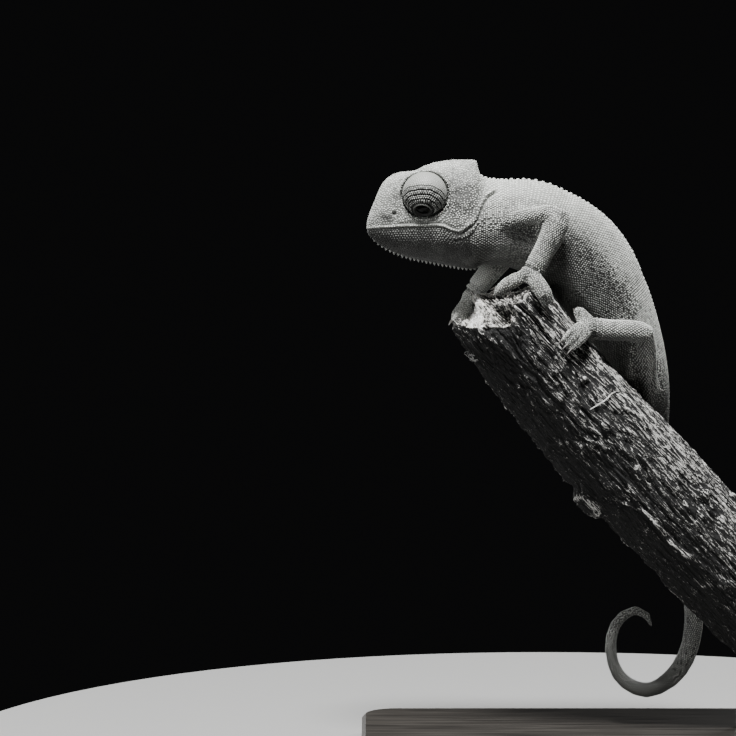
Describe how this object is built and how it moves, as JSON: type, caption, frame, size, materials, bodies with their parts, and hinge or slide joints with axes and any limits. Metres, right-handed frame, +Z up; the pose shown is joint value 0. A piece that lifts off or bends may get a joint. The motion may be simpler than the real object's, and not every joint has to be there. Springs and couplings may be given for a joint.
{
  "type": "young veiled chameleon on a branch",
  "caption": "Still model of a young casqued chameleon with a curled tail, gripping a short length of broken branch that a rod holds over a flat base.",
  "frame": {"origin": "centre of the underside of the stand's base plate", "axes": "+Z up; the animal faces -X and its left side faces -Y"},
  "size_m": [0.067, 0.042, 0.0898],
  "materials": {
    "skin": "dry fine granular scales, pale grey with a faint green cast, darker on the lower flank",
    "eyeball": "wet black glossy eye",
    "claw": "dark satin horn",
    "bark": "dry furrowed grey bark, pale torn fibres at the broken end",
    "base": "satin black-stained wood",
    "rod": "brushed metal"
  },
  "bodies": {
    "root": {"arm_left_forearm": "skin", "arm_left_upper": "skin", "arm_right_forearm": "skin", "arm_right_upper": "skin", "branch": "bark", "claw_foot_left_back_1": "claw", "claw_foot_left_back_2": "claw", "claw_foot_left_back_3": "claw", "claw_foot_left_front_1": "claw", "claw_foot_left_front_2": "claw", "claw_foot_right_back_1": "claw", "claw_foot_right_back_2": "claw", "claw_foot_right_back_3": "claw", "claw_foot_right_front_1": "claw", "claw_foot_right_front_2": "claw", "claw_hand_left_back_1": "claw", "claw_hand_left_back_2": "claw", "claw_hand_left_front_1": "claw", "claw_hand_left_front_2": "claw", "claw_hand_left_front_3": "claw", "claw_hand_right_back_1": "claw", "claw_hand_right_back_2": "claw", "claw_hand_right_front_1": "claw", "claw_hand_right_front_2": "claw", "claw_hand_right_front_3": "claw", "eye_turret_left": "skin", "eye_turret_right": "skin", "eyeball_left": "eyeball", "eyeball_right": "eyeball", "foot_left_palm": "skin", "foot_left_toes_back": "skin", "foot_left_toes_front": "skin", "foot_right_palm": "skin", "foot_right_toes_back": "skin", "foot_right_toes_front": "skin", "hand_left_palm": "skin", "hand_left_toes_back": "skin", "hand_left_toes_front": "skin", "hand_right_palm": "skin", "hand_right_toes_back": "skin", "hand_right_toes_front": "skin", "head": "skin", "jaw_lower": "skin", "leg_left_shank": "skin", "leg_left_thigh": "skin", "leg_right_shank": "skin", "leg_right_thigh": "skin", "neck": "skin", "stand_base": "base", "stand_rod": "rod", "tail_1": "skin", "tail_2": "skin", "tail_3": "skin", "tail_4": "skin", "tail_5": "skin", "tail_6": "skin", "trunk_fore": "skin", "trunk_hind": "skin", "trunk_mid": "skin"}
  },
  "joints": []
}
